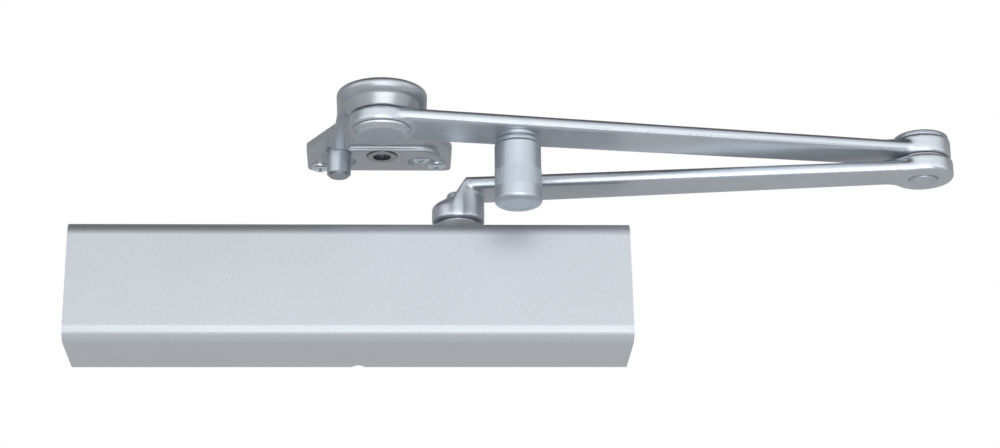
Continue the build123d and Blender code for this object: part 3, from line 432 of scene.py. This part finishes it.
draft = bmesh.new()
draft.from_mesh(head.data)
around, rows = screw["sides"], screw["rows"]
rings = []
for row in range(rows + 1):
    height = screw["headHeight"] - 0.2 + (screw["length"] + 0.2) * row / rows
    ring = []
    for i in range(around):
        turn = 2 * math.pi * i / around
        share = (height / screw["pitch"] - i / around) % 1.0
        tooth = max(0.0, 1 - abs(share - 0.5) * screw["toothSteep"])
        radius = screw["core"] + (screw["shank"] - screw["core"]) * tooth
        if row == rows:
            radius *= screw["tip"]
        ring.append(draft.verts.new((math.cos(turn) * radius / 1000, math.sin(turn) * radius / 1000,
                                     height / 1000)))
    rings.append(ring)
for low, high in zip(rings, rings[1:]):
    for i in range(around):
        j = (i + 1) % around
        draft.faces.new((low[i], low[j], high[j], high[i]))
draft.faces.new(rings[0][::-1])
draft.faces.new(rings[-1])
draft.to_mesh(head.data)
draft.free()

screwTree, sockets, given = startTree("screwPlaces", {
    "Geometry": "Geometry", "Screw": "Object", "Turn": "Float", "Material": "Material"})
one = addNode(screwTree, "GeometryNodeObjectInfo", {}, {"Object": given["Screw"]})
index = addNode(screwTree, "GeometryNodeInputIndex")
turn = addNode(screwTree, "ShaderNodeMath", {"operation": "MULTIPLY"},
               {0: index.outputs[0], 1: given["Turn"]})
spin = addNode(screwTree, "ShaderNodeCombineXYZ", {}, {"Z": turn.outputs[0]})
copies = addNode(screwTree, "GeometryNodeInstanceOnPoints", {},
                 {"Points": given["Geometry"], "Instance": one.outputs["Geometry"],
                  "Rotation": spin.outputs[0]})
endTree(screwTree, copies, given)
spots = bpy.data.meshes.new("bracketScrewsTurned")
spots.from_pydata([(x / 1000, y / 1000, screwBottom / 1000) for x, y in screw["places"]], [], [])
screws = place("bracketScrewsTurned", spots)
growTree(screws, screwTree, sockets,
         {"Screw": head, "Turn": screw["turn"], "Material": made["brightZinc"]})
bpy.data.objects.remove(head)
dress(screws, "bracket_body", "brightZinc", ["bracket_screws"], sharp=40)
print("screws made, faces", len(screws.data.polygons))

# Camera, where the photograph was taken from: below, and a little to the left of the object's middle
# place in metres, angles in radians, lens in millimetres
view = dict(place=(0.01994, -1.41183, -0.46019), turn=0.046143, lift=0.347328, roll=-0.0136319, lens=94.30)
ahead = Vector((math.sin(view["turn"]) * math.cos(view["lift"]),
                math.cos(view["turn"]) * math.cos(view["lift"]), math.sin(view["lift"])))
right = Vector((math.cos(view["turn"]), -math.sin(view["turn"]), 0))
up = right.cross(ahead)
across = right * math.cos(view["roll"]) + up * math.sin(view["roll"])
upright = up * math.cos(view["roll"]) - right * math.sin(view["roll"])
camera = place("camera", bpy.data.cameras.new("camera"))
facing = Matrix((across, upright, -ahead)).transposed().to_4x4()
camera.matrix_world = Matrix.Translation(Vector(view["place"])) @ facing
camera.data.lens = view["lens"]
camera.data.sensor_width = 36
camera.data.sensor_fit = "HORIZONTAL"
bpy.context.scene.camera = camera

# Floor, lamps and world
studio = dict(
    floorColour="EDEDED", floorRoughness=0.8,
    floorHeight=-2.40, floorHalf=16.0,  # metres, far enough below for a camera that looks up at the object
    floorGlow=0.45, floorSeen=0.64,  # what the floor sends up to the object, and what a camera sees of it
    fill=0.12,  # plain light from all round
    front=1.80, rear=0.45, frontEnd=-0.50, rearStart=0.10,  # what gloss finds before and behind the object
    ceiling=0.0, ceilingStart=0.28, ceilingFull=0.75,  # a dark ceiling, which draws the upper edges
    backWall=1.0, wallStart=0.15, wallFull=0.50)  # a lit wall behind it, for faces seen from above
draft = bmesh.new()
bmesh.ops.create_grid(draft, x_segments=1, y_segments=1, size=studio["floorHalf"],
                      matrix=Matrix.Translation((0, 0, studio["floorHeight"])))
floor = place("floor", bpy.data.meshes.new("floor"))
draft.to_mesh(floor.data)
draft.free()
floorPaint = bpy.data.materials.new("paleFloor")
floorPaint.use_nodes = True
floorTree = floorPaint.node_tree
paper = floorTree.nodes["Principled BSDF"]
paper.inputs["Base Color"].default_value = linearColour(studio["floorColour"])
paper.inputs["Emission Color"].default_value = (1, 1, 1, 1)
paper.inputs["Roughness"].default_value = studio["floorRoughness"]
glow = addNode(floorTree, "ShaderNodeMix",
               {"data_type": "FLOAT", 2: studio["floorGlow"], 3: studio["floorSeen"]},
               {0: addNode(floorTree, "ShaderNodeLightPath").outputs["Is Camera Ray"]})
floorTree.links.new(glow.outputs[0], paper.inputs["Emission Strength"])
floor.data.materials.append(floorPaint)

lamps = {  # place and target in metres, width and height, watts
    "softLamp": dict(place=(0.05, -2.00, -0.10), target=(0.05, 0, 0.02), size=(1.6, 1.0), power=7.1),
    "lowLamp": dict(place=(0.20, -1.15, -0.68), target=(0.05, 0, 0.02), size=(1.3, 0.5), power=6.2),
}
for name, plan in lamps.items():
    lamp = place(name, bpy.data.lights.new(name, "AREA"))
    lamp.data.shape = "RECTANGLE"
    lamp.data.size, lamp.data.size_y = plan["size"]
    lamp.data.energy = plan["power"]
    lamp.location = plan["place"]
    ray = Vector(plan["target"]) - Vector(plan["place"])
    lamp.rotation_euler = ray.to_track_quat("-Z", "Y").to_euler()

world = bpy.data.worlds.new("studio")
bpy.context.scene.world = world
world.use_nodes = True
air = world.node_tree
air.nodes.clear()
path = addNode(air, "ShaderNodeLightPath")
mirror = addNode(air, "ShaderNodeMath", {"operation": "MAXIMUM"},
                 {0: path.outputs["Is Glossy Ray"], 1: path.outputs["Is Transmission Ray"]})
direction = addNode(air, "ShaderNodeSeparateXYZ", {},
                    {0: addNode(air, "ShaderNodeTexCoord").outputs["Generated"]})
overhead = addNode(air, "ShaderNodeMapRange",
                   {"From Min": studio["ceilingStart"], "From Max": studio["ceilingFull"],
                    "To Min": 1.0, "To Max": studio["ceiling"]}, {"Value": direction.outputs["Z"]})
frontal = addNode(air, "ShaderNodeMapRange",
                  {"From Min": studio["frontEnd"], "From Max": studio["rearStart"],
                   "To Min": studio["front"], "To Max": studio["rear"]}, {"Value": direction.outputs["Y"]})
soft = addNode(air, "ShaderNodeMix", {"data_type": "FLOAT", 2: studio["fill"]},
               {0: mirror.outputs[0], 3: frontal.outputs["Result"]})
behind = addNode(air, "ShaderNodeMapRange", {"From Min": studio["wallStart"], "From Max": studio["wallFull"]},
                 {"Value": direction.outputs["Y"]})
canopy = addNode(air, "ShaderNodeMix", {"data_type": "FLOAT", 3: studio["backWall"]},
                 {0: behind.outputs["Result"], 2: overhead.outputs["Result"]})
lit = addNode(air, "ShaderNodeMath", {"operation": "MULTIPLY"}, {0: soft.outputs[0], 1: canopy.outputs[0]})
seen = addNode(air, "ShaderNodeMix", {"data_type": "FLOAT", 3: 1.0},  # a camera sees plain white
               {0: path.outputs["Is Camera Ray"], 2: lit.outputs[0]})
sky = addNode(air, "ShaderNodeBackground", {"Color": (1, 1, 1, 1)}, {"Strength": seen.outputs[0]})
addNode(air, "ShaderNodeOutputWorld", {}, {"Surface": sky.outputs[0]})
bpy.context.scene.view_settings.view_transform = "Standard"
print("stage made")
